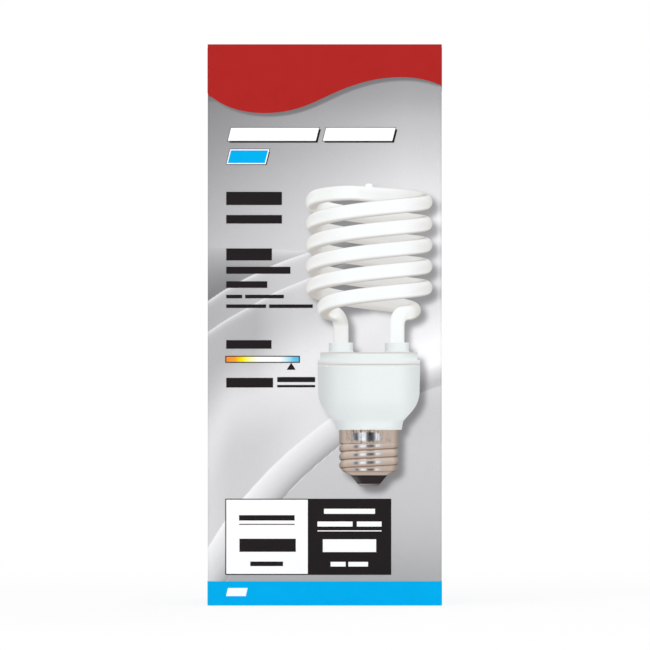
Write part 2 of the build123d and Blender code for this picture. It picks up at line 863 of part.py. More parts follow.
def below_header(wave, ends):
    """The area of one wall below the header's wavy edge, a little wider than the wall."""
    points = [(-half_width, ends[0]), *wave, (half_width, ends[1])]
    points = [(x, carton_height - depth) for x, depth in points]
    (_, left_height), (_, right_height) = points[0], points[-1]
    wide = half_width + 1
    frame = Polyline(points[-1], (wide, right_height), (wide, 0), (-wide, 0), (-wide, left_height), points[0])
    return area(Spline(*points), frame)


def print_header():
    """The red field round the top of all four walls, with its wavy lower edge."""
    ring = extrude(outer_profile(ink), carton_height) - extrude(outer_profile(), carton_height)
    ring -= block((-carton_width, carton_width), (-inner_half_depth, carton_depth),
                  (flap_level - crease, carton_height))
    front = below_header(header_wave, (header_left, header_right))
    side = below_header(side_wave, (header_right, header_left))
    wall = Plane((0, -half_depth + fold_radius, 0), x_dir=(1, 0, 0), z_dir=(0, -1, 0))
    for turn, field in ((0, front), (90, side), (180, front), (270, side)):
        ring -= Rot(0, 0, turn) * extrude(wall * field, fold_radius + 1)
    return ring


def print_foot_band():
    """The blue band round the foot of all four walls."""
    ring = extrude(outer_profile(ink), foot_band_height) - extrude(outer_profile(), foot_band_height)
    return ring - on_front(strip(foot_strip, slant), 3 * ink)


def title_bars():
    """The slanted bars in the title's place: the white ones, then the blue one."""
    return [strip(row, slant) for row in title_strips], strip(title_blue_strip, slant)


def past_divide(row):
    """A strip or rule of the black box, which is measured from the panel's dividing line."""
    start, *sizes = row
    return (panel_divide + start, *sizes)


def panel_box(left, right):
    """A box of the two-part panel near the front's foot."""
    return bar(left_margin + left, left_margin + right, panel_foot, panel_top)


def scale_bar(share_from, share_to, grow=0.0):
    """A stretch of the colour scale."""
    left = left_margin + share_from * scale_length
    right = left_margin + share_to * scale_length
    return bar(left - grow, right + grow, scale_foot - grow, scale_top + grow)


def print_dark_marks():
    """What is printed in black: strips, rules, the black box, outlines, the pointer and shadows."""
    frame = bar(left_margin - line_weight, left_margin + panel_length, panel_foot - line_weight,
                panel_top + line_weight)
    frame -= panel_box(0, panel_divide)
    for row in black_panel_strips:
        frame -= strip(past_divide(row))
    frame -= rule(past_divide(black_panel_rule))
    pointer = left_margin + pointer_offset
    foot = scale_foot - line_weight
    arrow = Polygon((pointer, foot), (pointer + pointer_width / 2, foot - pointer_height),
                    (pointer - pointer_width / 2, foot - pointer_height), align=None)
    outline = scale_bar(0, 1, line_weight) - scale_bar(0, 1)
    white_bars, blue_bar = title_bars()
    shadows = [Pos(shadow_shift, -shadow_shift) * light - light for light in [*white_bars, blue_bar]]
    strips = [strip(row) for row in dark_strips + white_panel_strips]
    return inked([frame, outline, arrow, rule(white_panel_rule), *shadows, *strips, picture(tip_outline())])


def print_white_marks():
    """What is printed in white: the white box, the title's bars and the bars on darker fields."""
    box = panel_box(0, panel_divide) - rule(white_panel_rule)
    for row in white_panel_strips:
        box -= strip(row)
    white_bars, _ = title_bars()
    strips = [strip(past_divide(row)) for row in black_panel_strips]
    middle = scale_bar(scale_warm_share, 1 - scale_cool_share)
    lines = [rule(past_divide(black_panel_rule)), strip(foot_strip, slant)]
    return inked([box, *white_bars, *strips, *lines, middle])


def print_blue_marks():
    """The slanted blue bar under the title, and the cool end of the colour scale."""
    _, blue_bar = title_bars()
    return inked([blue_bar, scale_bar(1 - scale_cool_share, 1)])


def print_amber_mark():
    """The warm end of the colour scale."""
    return inked([scale_bar(0, scale_warm_share)])


# Picture of the bulb on the front, drawn from the bulb's own sizes


def picture(outline):
    """Places an outline drawn at the bulb's real size on the front, at the picture's scale."""
    return Pos(picture_axis, picture_foot) * scale(outline, by=picture_scale)


def both_sides(points):
    """A face from the right-hand half of an outline, mirrored about the axis."""
    return Polygon(*points, *[(-x, z) for x, z in reversed(points)], align=None)


def tip_outline():
    """The insulator and contact, seen from the side."""
    return both_sides([(contact_flat, 0), (contact_radius, insulator_foot), (shell_foot_radius, shell_foot)])


def cap_outline():
    """The screw shell, seen from the side."""
    foot, lip, *_, shoulder, top = shell_side(0)
    crests = [(thread_crest, thread_foot + (k + 0.5) * thread_pitch) for k in range(thread_turns)]
    roots = [(thread_root, thread_foot + k * thread_pitch) for k in range(thread_turns)]
    thread = [point for pair in zip(roots, crests) for point in pair]
    return both_sides([foot, lip, *thread, (thread_root, thread_top), shoulder, top])


def housing_outline():
    """The housing, cover and collars, seen from the side."""
    half = area(*housing_side(0), Polyline(
        (seam_radius, seam_height), (seam_radius, step_height), (step_radius, step_height),
        (step_radius, cover_top), (0, cover_top), (0, neck_foot), (neck_radius, neck_foot),
        (neck_top_radius, neck_top)))
    radius = tube_radius + bore_gap + collar_wall
    collars = [bar(x - radius, x + radius, cover_top, collar_top) for x, _ in both_legs()]
    return joined([half, mirror(half, Plane.YZ), *collars])


def capsule(start, end):
    """A straight length of tube between two points, seen from the side."""
    across, up = end[0] - start[0], end[1] - start[1]
    middle = ((start[0] + end[0]) / 2, (start[1] + end[1]) / 2)
    slot = SlotCenterToCenter((across**2 + up**2) ** 0.5, 2 * tube_radius)
    return Pos(*middle) * Rot(0, 0, degrees(atan2(up, across))) * slot


def tube_runs(facing):
    """The tube's half turns, seen from the side: near ones rise to the right, far ones to the left."""
    rise = spiral_lead / 2
    count = int((spiral_end - 180.0) / 180.0)
    run_in_reach = run_in_radius - (spiral_radius - run_in_radius) * cos(radians(spiral_start))
    starts = [run_in_reach] + (count - 1) * [spiral_radius]
    runs = []
    for k, start in enumerate(starts):
        low = spiral_low + k * rise
        runs.append(capsule((-facing * start, low), (facing * spiral_radius, low + rise)))
    runs.append(capsule((-facing * spiral_radius, spiral_low + count * rise), (0, crown_height)))
    leg_x = facing * abs(leg.X)
    bend = spiral_low - elbow_radius
    runs.append(capsule((leg_x, collar_top + tube_radius), (leg_x, bend)))
    runs.append(capsule((leg_x, bend), (facing * run_in_reach, spiral_low)))
    return runs


def joined(shapes):
    """One outline from several that touch or overlap."""
    whole = shapes[0]
    for shape in shapes[1:]:
        whole += shape
    return whole


def print_picture_tube():
    """The near half turns of the pictured tube."""
    return inked([picture(joined(tube_runs(1)))])


def print_picture_tube_shade():
    """The far half turns of the pictured tube, between the near ones."""
    return inked([picture(joined(tube_runs(-1)) - joined(tube_runs(1)))])


def print_picture_housing():
    """The pictured housing and cover."""
    return inked([picture(housing_outline())])


def print_picture_cap():
    """The pictured screw shell."""
    return inked([picture(cap_outline())])


# All pieces by name


def bulb_pieces():
    """Every piece of the bulb, at its own heights."""
    pieces = {
        "discharge_tube": discharge_tube(),
        "upper_cover": upper_cover(),
        "ballast_housing": ballast_housing(),
        "screw_cap_shell": screw_cap_shell(),
        "cap_insulator": cap_insulator(),
        "centre_contact": centre_contact(),
        "circuit_board": circuit_board(),
        "reservoir_capacitor": reservoir_capacitor(),
        "choke_core": choke_core(),
        "choke_winding": choke_winding(),
        "drive_ring": drive_ring(),
        "fuse_resistor": fuse_resistor(),
        "base_lead_contact": base_lead_contact(),
        "base_lead_shell": base_lead_shell(),
    }
    for index, angle in enumerate(transistor_angles(), 1):
        pieces[f"switching_transistor_{index}"] = switching_transistor(angle)
    for index, angle in enumerate(film_angles(), 1):
        pieces[f"film_capacitor_{index}"] = film_capacitor(angle)
    for index, angle in enumerate(diode_angles, 1):
        pieces[f"rectifier_diode_{index}"] = rectifier_diode(angle)
    for name, place in zip(("left", "right"), both_legs()):
        pieces[f"tube_cement_{name}"] = tube_cement(place)
        pieces[f"tube_lead_{name}_1"] = tube_lead(place, 1)
        pieces[f"tube_lead_{name}_2"] = tube_lead(place, -1)
    return pieces


def carton_pieces():
    """Every piece of the carton and its print."""
    return {
        "carton_sleeve": carton_sleeve(),
        "carton_lid": carton_lid(),
        "print_header_red": print_header(),
        "print_foot_band_blue": print_foot_band(),
        "print_dark_marks": print_dark_marks(),
        "print_white_marks": print_white_marks(),
        "print_blue_marks": print_blue_marks(),
        "print_amber_mark": print_amber_mark(),
        "print_picture_tube": print_picture_tube(),
        "print_picture_tube_shade": print_picture_tube_shade(),
        "print_picture_housing": print_picture_housing(),
        "print_picture_cap": print_picture_cap(),
    }


os.makedirs("parts", exist_ok=True)
for name, piece in carton_pieces().items():
    export_step(piece, f"parts/{name}.step")
for name, piece in bulb_pieces().items():
    export_step(Pos(0, 0, bulb_seat) * piece, f"parts/{name}.step")
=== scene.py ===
import bmesh
import bpy
import numpy as np
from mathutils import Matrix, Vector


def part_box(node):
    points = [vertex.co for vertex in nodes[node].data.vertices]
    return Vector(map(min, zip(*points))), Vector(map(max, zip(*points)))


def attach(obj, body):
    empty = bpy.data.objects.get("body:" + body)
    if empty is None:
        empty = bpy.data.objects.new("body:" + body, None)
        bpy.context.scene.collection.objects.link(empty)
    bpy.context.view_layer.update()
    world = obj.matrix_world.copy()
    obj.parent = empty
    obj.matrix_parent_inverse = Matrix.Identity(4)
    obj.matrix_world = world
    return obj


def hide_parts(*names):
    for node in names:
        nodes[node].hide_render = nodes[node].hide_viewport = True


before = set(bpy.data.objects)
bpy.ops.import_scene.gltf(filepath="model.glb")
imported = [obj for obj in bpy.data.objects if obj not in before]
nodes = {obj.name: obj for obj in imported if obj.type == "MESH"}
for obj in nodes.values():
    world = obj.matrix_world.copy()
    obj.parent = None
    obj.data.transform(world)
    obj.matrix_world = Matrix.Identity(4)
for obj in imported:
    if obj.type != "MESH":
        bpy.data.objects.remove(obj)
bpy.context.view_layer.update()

# A light bulb carton with its tuck lid, its printed front and the bulb that stands in it.
# Lengths below are in millimetres, and every mesh is made in metres.

MM = 0.001
_, high_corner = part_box("carton_sleeve")
half_width = high_corner.x / MM
half_depth = high_corner.y / MM
height = high_corner.z / MM
board = 0.5
corner_radius = 0.8

# Places that lie this close together count as the same
slack = 0.01

# The inks' colours, from 0 to 255
red = (172, 38, 36)
cyan = (0, 174, 236)
black = (36, 32, 33)
white = (255, 255, 255)

# The photograph's frame: how much of the front's plane it shows, and where its middle lies
frame_width = 168.29
frame_middle_x = 0.069
frame_middle_z = 72.63
camera_distance = 2200.0
sensor_width = 36.0


# Colour and curve helpers


def linear(colour):
    """Linear values of a colour given as it shows on screen, from 0 to 255."""
    share = np.clip(np.asarray(colour, float) / 255.0, 0.0, 1.0)
    return np.where(share <= 0.04045, share / 12.92, ((share + 0.055) / 1.055) ** 2.4)


def rgba(colour):
    """A node socket's value for a colour given from 0 to 255."""
    return (*[float(v) for v in linear(colour)], 1.0)


def smooth(start, end, value):
    """Rises softly from 0 to 1 as the value goes from start to end."""
    share = np.clip((value - start) / (end - start), 0.0, 1.0)
    return share * share * (3.0 - 2.0 * share)


def mix(first, second, share):
    """A blend of two values."""
    return first + (second - first) * share


def curve(points):
    """A smooth line through a few points, as a function of x that runs on straight past its ends."""
    xs, zs = (np.array(column, float) for column in zip(*points))
    slopes = np.gradient(zs, xs)

    def at(x):
        index = np.clip(np.searchsorted(xs, x) - 1, 0, len(xs) - 2)
        span = xs[index + 1] - xs[index]
        t = np.clip((x - xs[index]) / span, 0.0, 1.0)
        past = (x - xs[index]) - t * span
        rise = zs[index + 1] - zs[index]
        start, end = slopes[index] * span, slopes[index + 1] * span
        bend = t * (1 - t) * ((1 - t) * (start - rise) - t * (end - rise))
        return zs[index] + t * rise + bend + past * np.where(past > 0, slopes[-1], slopes[0])

    return at


# Node helpers

noise_span = (0.3, 0.7)
paper_grain = (1.0, 1.0, 1.6)
grey = (200, 200, 200)


class Shader:
    """A new material with a Principled shader, and short calls for its nodes."""

    def __init__(self, name, colour, roughness, metallic=0.0, specular=0.3):
        self.material = bpy.data.materials.new(name)
        self.material.use_nodes = True
        self.tree = self.material.node_tree
        self.surface = self.tree.nodes["Principled BSDF"]
        self.surface.inputs["Base Color"].default_value = rgba(colour)
        self.surface.inputs["Roughness"].default_value = roughness
        self.surface.inputs["Metallic"].default_value = metallic
        self.surface.inputs["Specular IOR Level"].default_value = specular

    def add(self, kind, **settings):
        """A new node with some of its properties set."""
        node = self.tree.nodes.new(kind)
        for key, value in settings.items():
            setattr(node, key, value)
        return node

    def fill(self, socket, value):
        """Links a value from another node, or sets a plain number."""
        if isinstance(value, bpy.types.NodeSocket):
            self.tree.links.new(value, socket)
        else:
            socket.default_value = value

    def math(self, operation, first, second=0.0):
        """One step of arithmetic."""
        node = self.add("ShaderNodeMath", operation=operation)
        self.fill(node.inputs[0], first)
        self.fill(node.inputs[1], second)
        return node.outputs[0]

    def blend(self, share, first, second):
        """A mix of two colours, each a socket or a colour from 0 to 255."""
        node = self.add("ShaderNodeMix", data_type="RGBA")
        self.fill(node.inputs[0], share)
        self.fill(node.inputs[6], first if isinstance(first, bpy.types.NodeSocket) else rgba(first))
        self.fill(node.inputs[7], second if isinstance(second, bpy.types.NodeSocket) else rgba(second))
        return node.outputs[2]

    def place(self):
        """The point's own x, y and z on the piece, in metres."""
        where = self.add("ShaderNodeTexCoord")
        split = self.add("ShaderNodeSeparateXYZ")
        self.fill(split.inputs[0], where.outputs["Object"])
        return where.outputs["Object"], split.outputs

    def noise(self, cell, detail=4.0, stretch=(1.0, 1.0, 1.0), rough=0.55):
        """Cloudy noise with grains of about one cell, given in millimetres."""
        where, _ = self.place()
        scaled = self.add("ShaderNodeMapping")
        scaled.inputs["Scale"].default_value = [1.0 / (cell * MM * s) for s in stretch]
        self.fill(scaled.inputs["Vector"], where)
        node = self.add("ShaderNodeTexNoise")
        node.inputs["Scale"].default_value = 1.0
        node.inputs["Detail"].default_value = detail
        node.inputs["Roughness"].default_value = rough
        self.fill(node.inputs["Vector"], scaled.outputs[0])
        return node.outputs["Fac"]

    def ramp(self, value, stops):
        """A colour ramp with stops of place and colour from 0 to 255."""
        node = self.add("ShaderNodeValToRGB")
        elements = node.color_ramp.elements
        while len(elements) < len(stops):
            elements.new(0.5)
        for element, (place, colour) in zip(elements, stops):
            element.position = place
            element.color = rgba(colour)
        self.fill(node.inputs[0], value)
        return node.outputs[0]

    def span(self, value, low, high, start=0.0, end=1.0):
        """Moves the span between two values to the span from start to end."""
        node = self.add("ShaderNodeMapRange")
        self.fill(node.inputs["Value"], value)
        node.inputs["From Min"].default_value = low
        node.inputs["From Max"].default_value = high
        node.inputs["To Min"].default_value = start
        node.inputs["To Max"].default_value = end
        return node.outputs[0]

    def colour(self, value):
        """Sets the surface's colour."""
        self.fill(self.surface.inputs["Base Color"], value)

    def speckle(self, base, amount, cell):
        """Colour that wavers a little about a base colour."""
        shade = self.span(self.noise(cell), *noise_span)
        dark = [v * (1 - amount) for v in base]
        light = [min(255.0, v * (1 + amount)) for v in base]
        return self.blend(shade, dark, light)

    def bump(self, value, depth):
        """Raises the surface by up to a depth in millimetres."""
        node = self.add("ShaderNodeBump")
        node.inputs["Distance"].default_value = depth * MM
        node.inputs["Strength"].default_value = 1.0
        self.fill(node.inputs["Height"], value)
        self.fill(self.surface.inputs["Normal"], node.outputs[0])

    def rough(self, value, low, high):
        """Roughness that wavers between two values."""
        self.fill(self.surface.inputs["Roughness"], self.span(value, *noise_span, low, high))


def dress(node, shader):
    """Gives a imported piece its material."""
    mesh = nodes[node].data
    mesh.materials.clear()
    mesh.materials.append(shader.material)


# Camera, floor and light. The sizes in this part are in metres.

view_reach = 20.0
floor_half_size = 3.0
floor_grey = 0.9
shadow_reach = (0.05, 0.35)
floor_white_share = 0.86
world_strength = 0.65
lamp_size = 0.8
lamp_aim = (0.0, 0.0, 0.07)


def place_camera():
    """Looks straight at the printed front from far off, with the photograph's frame."""
    data = bpy.data.cameras.new("camera")
    data.sensor_width = sensor_width
    data.lens = sensor_width * camera_distance / frame_width
    data.clip_end = view_reach
    camera = bpy.data.objects.new("camera", data)
    camera.location = (frame_middle_x * MM, -(half_depth + camera_distance) * MM, frame_middle_z * MM)
    camera.rotation_euler = (np.pi / 2, 0.0, 0.0)
    bpy.context.scene.collection.objects.link(camera)
    bpy.context.scene.camera = camera


def seen_directly(tree):
    """1 for what the camera sees straight, in gloss or through glass, and 0 for light on surfaces."""
    path = tree.nodes.new("ShaderNodeLightPath")
    total = path.outputs["Is Camera Ray"]
    for name in ("Is Glossy Ray", "Is Transmission Ray"):
        step = tree.nodes.new("ShaderNodeMath")
        step.operation = "MAXIMUM"
        tree.links.new(total, step.inputs[0])
        tree.links.new(path.outputs[name], step.inputs[1])
        total = step.outputs[0]
    return total


def plain_white_share(tree):
    """How much of the floor's look is plain white: less near the carton, and none in its light."""
    where = tree.nodes.new("ShaderNodeTexCoord")
    reach = tree.nodes.new("ShaderNodeVectorMath")
    reach.operation = "LENGTH"
    tree.links.new(where.outputs["Object"], reach.inputs[0])
    away = tree.nodes.new("ShaderNodeMapRange")
    tree.links.new(reach.outputs["Value"], away.inputs["Value"])
    start, end = shadow_reach
    away.inputs["From Min"].default_value = start
    away.inputs["From Max"].default_value = end
    away.inputs["To Min"].default_value = floor_white_share
    share = tree.nodes.new("ShaderNodeMath")
    share.operation = "MULTIPLY"
    tree.links.new(away.outputs[0], share.inputs[1])
    tree.links.new(seen_directly(tree), share.inputs[0])
    return share.outputs[0]


def floor_material():
    """White that keeps the carton's faint shadow near its foot and is plain white farther off."""
    material = bpy.data.materials.new("floor_white")
    material.use_nodes = True
    tree = material.node_tree
    tree.nodes.clear()
    lit = tree.nodes.new("ShaderNodeBsdfDiffuse")
    lit.inputs["Color"].default_value = (floor_grey, floor_grey, floor_grey, 1.0)
    plain = tree.nodes.new("ShaderNodeEmission")
    plain.inputs["Strength"].default_value = 1.0
    both = tree.nodes.new("ShaderNodeMixShader")
    tree.links.new(plain_white_share(tree), both.inputs[0])
    tree.links.new(lit.outputs[0], both.inputs[1])
    tree.links.new(plain.outputs[0], both.inputs[2])
    out = tree.nodes.new("ShaderNodeOutputMaterial")
    tree.links.new(both.outputs[0], out.inputs[0])
    return material


def make_floor():
    """A wide flat floor under the carton."""
    size = floor_half_size
    corners = [(-size, -size, 0), (size, -size, 0), (size, size, 0), (-size, size, 0)]
    mesh = bpy.data.meshes.new("floor")
    mesh.from_pydata(corners, [], [(0, 1, 2, 3)])
    mesh.materials.append(floor_material())
    floor = bpy.data.objects.new("floor", mesh)
    bpy.context.scene.collection.objects.link(floor)


def make_world(strength):
    """Plain white surroundings that light the carton softly."""
    world = bpy.data.worlds.new("surroundings")
    bpy.context.scene.world = world
    world.use_nodes = True
    tree = world.node_tree
    background = tree.nodes["Background"]
    background.inputs["Color"].default_value = (1.0, 1.0, 1.0, 1.0)
    level = tree.nodes.new("ShaderNodeMapRange")
    tree.links.new(seen_directly(tree), level.inputs["Value"])
    level.inputs["To Min"].default_value = strength
    level.inputs["To Max"].default_value = 1.0
    tree.links.new(level.outputs[0], background.inputs["Strength"])


def make_lamp(name, place, power):
    """A soft square lamp that points at the carton's middle."""
    data = bpy.data.lights.new(name, "AREA")
    data.size = lamp_size
    data.energy = power
    lamp = bpy.data.objects.new(name, data)
    lamp.location = place
    aim = np.array(lamp_aim) - np.array(place)
    lamp.rotation_euler = Vector(aim).to_track_quat("-Z", "Y").to_euler()
    bpy.context.scene.collection.objects.link(lamp)


def light_scene():
    """Soft surroundings, a key lamp at the upper left and weaker lamps at the right and behind."""
    bpy.context.scene.view_settings.view_transform = "Standard"
    make_world(world_strength)
    make_lamp("key_lamp", (-0.9, -1.2, 1.1), power=9.6)
    make_lamp("fill_lamp", (1.1, -1.1, 0.6), power=5.4)
    make_lamp("back_lamp", (0.6, 1.3, 1.0), power=6.0)


# Printed front: the silver field with its pale bands. x runs from the middle, z from the foot.

first_line = curve(((-30.0, 79.1), (-26.6, 81.4), (-17.8, 86.1), (-10.6, 89.3), (-5.4, 91.1)))
second_line = curve(((-29.7, 71.3), (-26.6, 73.4), (-18.0, 78.3), (-12.6, 81.3), (-6.4, 83.9)))
faint_line = curve(((-30.3, 92.8), (-4.3, 91.9)))
ridge_line = curve(((-29.7, 43.4), (-25.0, 51.5), (-18.0, 55.0), (-6.4, 62.0)))
tube_upper = curve((
    (-29.7, 16.0), (-26.6, 20.9), (-19.4, 29.9), (-11.6, 38.0), (-2.3, 45.8), (28.8, 66.0),
))
tube_lower = curve((
    (-25.5, 6.2), (-24.5, 7.8), (-9.0, 29.7), (-3.8, 34.8), (1.4, 39.3), (26.0, 55.5), (29.3, 56.9),
))
soft_edge = 0.22


def upper_field(x, z):
    """The silver field above the bands: darker at its top left, lighter to its lower right."""
    left = 318.0 - 1.34 * z
    right = np.interp(z, (100.0, 110.0, 126.0, 131.0, 137.0), (238.0, 228.0, 196.0, 178.0, 165.0))
    return mix(left, right, np.clip((x + half_width) / 51.0, 0.0, 1.0))


def wedge_field(x, z):
    """The dark wedge between the faint line and the first line."""
    share = (z - first_line(x)) / (faint_line(x) - first_line(x))
    foot = mix(134.0, 205.0, smooth(-30.0, -2.0, x))
    head = mix(190.0, 232.0, smooth(-30.0, -4.0, x))
    return mix(foot, head, np.clip(share, 0.0, 1.0) ** 1.3)


def below_edge(x, z, line, bright, width, near, far):
    """A band under a line: a white edge that falls quickly to a near tone and slowly to a far one."""
    depth = line(x) - z
    edge = np.exp(-np.clip(depth, 0.0, None) / width)
    body = mix(near, far, smooth(2.0, 14.0, depth))
    return mix(body, bright, edge)


def first_band(x, z):
    """The band under the first line."""
    near = mix(182.0, 208.0, smooth(-30.0, -6.0, x))
    return below_edge(x, z, first_line, 255.0, 0.75, near, near)


def wide_band(x, z):
    """The broad soft band under the second line, with its ridge of light."""
    depth = second_line(x) - z
    ridge = second_line(x) - ridge_line(x)
    near = np.interp(x, (-28.0, -18.0, -13.0, -7.0), (187.0, 183.0, 200.0, 209.0))
    crest = mix(228.0, 238.0, smooth(-20.0, -6.0, x))
    past = mix(217.0, 210.0, smooth(-30.0, -24.0, x)) + 20.0 * smooth(-20.0, -2.0, x)
    body = mix(near, crest, smooth(0.3, 1.05, depth / ridge))
    body = mix(body, past, smooth(1.0, 1.65, depth / ridge))
    return mix(body, 252.0, np.exp(-np.clip(depth, 0.0, None) / 0.8))


def right_field(x, z):
    """The field at the right of the pictured bulb."""
    tones = (
        (48.0, 213), (56.3, 217), (56.8, 196), (58.1, 196), (59.7, 214), (61.0, 231), (62.3, 255),
        (68.7, 254), (72.9, 243), (77.0, 232), (87.0, 230), (95.0, 244), (99.8, 248), (106.0, 235),
        (112.0, 227),
    )
    heights, values = zip(*tones)
    slope, from_x = 0.35, 29.0
    return np.interp(z + slope * (from_x - x), heights, values)


def lower_tube(x, z):
    """The big pale tube that runs up behind the bulb, bright above and grey below."""
    share = (tube_upper(x) - z) / (tube_upper(x) - tube_lower(x))
    tones = ((0.0, 250), (0.12, 240), (0.35, 228), (0.6, 212), (0.8, 192), (0.93, 172), (1.0, 158))
    places, values = zip(*tones)
    return np.interp(share, places, values)


def field_tone(x, z):
    """The silver field's tone from 0 to 255, without the bulb's shadow, and with painted shade that
    darkens it towards its top.
    """
    tone = upper_field(x, z)
    inside = smooth(0.0, soft_edge, faint_line(x) - z)
    tone = mix(tone, wedge_field(x, z), inside)
    tone = mix(tone, first_band(x, z), smooth(0.0, soft_edge, first_line(x) - z))
    tone = mix(tone, wide_band(x, z), smooth(0.0, soft_edge, second_line(x) - z))
    lower_right = np.interp(z, (6.6, 10.7, 17.0, 25.2, 40.0), (173.0, 180.0, 190.0, 199.0, 206.0))
    tone = mix(tone, lower_right, smooth(0.0, soft_edge, tube_lower(x) - z))
    in_tube = smooth(0.0, soft_edge, tube_upper(x) - z) * smooth(0.0, soft_edge, z - tube_lower(x))
    tone = mix(tone, lower_tube(x, z), in_tube)
    beside = smooth(12.0, 22.0, x) * smooth(50.0, 58.0, z) * smooth(110.0, 102.0, z)
    tone = mix(tone, right_field(x, z), beside)
    # Painted shade: the field is darkened towards its top to offset the lamps' stronger light there.
    lamp_offset_shade = np.interp(z, (20.0, 45.0, 105.0, 132.0), (1.0, 0.982, 0.978, 0.957))
    return tone * lamp_offset_shade


def header_edge():
    """The header's wavy lower edge on the front, read from its piece."""
    mesh = nodes["print_header_red"].data
    points = np.array([v.co for v in mesh.vertices]) / MM
    flat = np.abs(points[:, 0]) < half_width - corner_radius - slack
    outer = points[:, 1] < -half_depth - ink_middle
    skin = points[flat & outer & (points[:, 2] < height - 1.0)]
    order = np.argsort(skin[:, 0])
    return skin[order, 0], skin[order, 2]


def grid_mesh(name, xs, zs, level):
    """A grid that lies a small distance in front of the board and follows its rounded corners."""
    across, up = np.meshgrid(xs, zs)
    past = np.maximum(np.abs(across) - half_width + corner_radius, 0.0)
    ahead = np.sqrt(corner_radius ** 2 - past ** 2)
    out = 1.0 + level / corner_radius
    across = across + np.sign(across) * past * (out - 1.0)
    depth = -half_depth + corner_radius - ahead * out
    points = np.stack((across, depth, up), axis=-1).reshape(-1, 3)
    columns = len(xs)
    corners = (np.arange(len(zs) - 1)[:, None] * columns + np.arange(columns - 1)[None, :]).reshape(-1)
    quads = np.stack((corners, corners + 1, corners + columns + 1, corners + columns), axis=1)
    mesh = bpy.data.meshes.new(name)
    mesh.from_pydata((points * MM).tolist(), [], quads.tolist())
    return mesh, points


def paint(mesh, colours):
    """Stores one linear colour for each point of a mesh."""
    layer = mesh.color_attributes.new("paint", "FLOAT_COLOR", "POINT")
    flat = np.concatenate((linear(colours), np.ones((len(colours), 1))), axis=1)
    layer.data.foreach_set("color", flat.astype(np.float32).reshape(-1))


def painted_print(name):
    """Satin print whose colour is painted on the mesh."""
    shader = Shader(name, grey, 0.5, specular=0.06)
    layer = shader.add("ShaderNodeAttribute", attribute_name="paint")
    grain = shader.add("ShaderNodeMix", data_type="RGBA", blend_type="MULTIPLY")
    shader.fill(grain.inputs[0], shader.span(shader.noise(0.5), *noise_span))
    shader.fill(grain.inputs[6], layer.outputs["Color"])
    grain.inputs[7].default_value = rgba((252, 252, 252))
    shader.colour(grain.outputs[2])
    shader.bump(shader.noise(0.6, stretch=paper_grain), 0.01)
    return shader


def add_piece(name, mesh, shader, body="carton", replaced=()):
    """Links a new piece, dresses it and lets it ride on a body."""
    piece = bpy.data.objects.new(name, mesh)
    bpy.context.scene.collection.objects.link(piece)
    mesh.materials.append(shader.material)
    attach(piece, body)
    if replaced:
        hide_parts(*replaced)
    return piece


# Printed layers on the front


def picture_place():
    """The pictured bulb's scale, and where the real bulb's axis and zero height lie on the front."""
    shown_low, shown_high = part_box("print_picture_housing")
    real_low, real_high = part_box("ballast_housing")
    share = (shown_high.x - shown_low.x) / (real_high.x - real_low.x)
    axis = (shown_low.x + shown_high.x) / 2 / MM
    cap_low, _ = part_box("print_picture_cap")
    shell_low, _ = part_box("screw_cap_shell")
    foot = (cap_low.z - share * shell_low.z) / MM
    return share, axis, foot


picture_share, picture_axis, picture_zero = picture_place()
pictured = (
    "discharge_tube", "upper_cover", "ballast_housing", "screw_cap_shell", "cap_insulator",
    "centre_contact",
)
_, seam_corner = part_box("ballast_housing")
seam = seam_corner.z / MM
shell_low_corner, shell_high_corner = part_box("screw_cap_shell")
lip = shell_low_corner.z / MM
shell_top = shell_high_corner.z / MM

# How far the printed layers stand in front of the board, and how deep the picture's relief is
field_level = 0.02
picture_level = 0.03
ink_middle = 0.05
tip_level = 0.08
rim_level = 0.082
picture_relief = 0.03

# The silver field's cells, its foot, its distance below the top and its degrees round the corners
front_cell = 0.3
front_foot = 5.6
front_top_gap = 8.0
corner_turns = (15.0, 30.0, 45.0, 60.0, 75.0)

# The printed shadows of the header and of the pictured bulb, and the silver's tint
header_shade_right = 1.0
header_shade_down = 0.75
header_shade_tone = 122.0
header_shade_soft = (-0.1, 0.45)
shadow_right = 1.6
shadow_down = 1.6
shadow_blur = 0.65
shadow_depth = 0.35
silver_tint = (-0.5, -0.8, 1.3)

# The pictured tube is seen a little from below, by this share of its depth
tube_from_below = 0.062

# The real bulb's radius, and the heights at which the picture's tones change
bulb_radius = 28.0
leg_top = 74.0
crown_foot = 120.0
cover_step_rise = 5.6
thread_end = 9.0
foot_line = 7.9
foot_glint = 8.8

# The title's fine outlines, each given by its distance outside the bar
title_foot = 112.0
dark_rim = 0.12
white_rim = 0.28
blue_bar_rim = 0.4


def piece_points(node):
    """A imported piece's points in millimetres and the corner numbers of its triangles."""
    mesh = nodes[node].data
    mesh.calc_loop_triangles()
    triangles = np.zeros(3 * len(mesh.loop_triangles), int)
    mesh.loop_triangles.foreach_get("vertices", triangles)
    points = np.zeros(3 * len(mesh.vertices))
    mesh.vertices.foreach_get("co", points)
    return points.reshape(-1, 3) / MM, triangles.reshape(-1, 3)


def row_cover(crossing, z, xs):
    """Which places of one row the triangles that cross it cover."""
    cell = xs[1] - xs[0]
    start, end = crossing, np.roll(crossing, -1, axis=1)
    rise = end[:, :, 1] - start[:, :, 1]
    share = (z - start[:, :, 1]) / np.where(rise == 0, 1.0, rise)
    met = (rise != 0) & (share >= 0) & (share <= 1)
    at = start[:, :, 0] + share * (end[:, :, 0] - start[:, :, 0])
    left = np.where(met, at, np.inf).min(axis=1)
    right = np.where(met, at, -np.inf).max(axis=1)
    first = np.clip(np.ceil((left - xs[0]) / cell), 0, len(xs)).astype(int)
    last = np.clip(np.floor((right - xs[0]) / cell) + 1, 0, len(xs)).astype(int)
    steps = np.zeros(len(xs) + 1)
    np.add.at(steps, first, 1)
    np.add.at(steps, np.maximum(first, last), -1)
    return np.cumsum(steps)[:-1] > 0


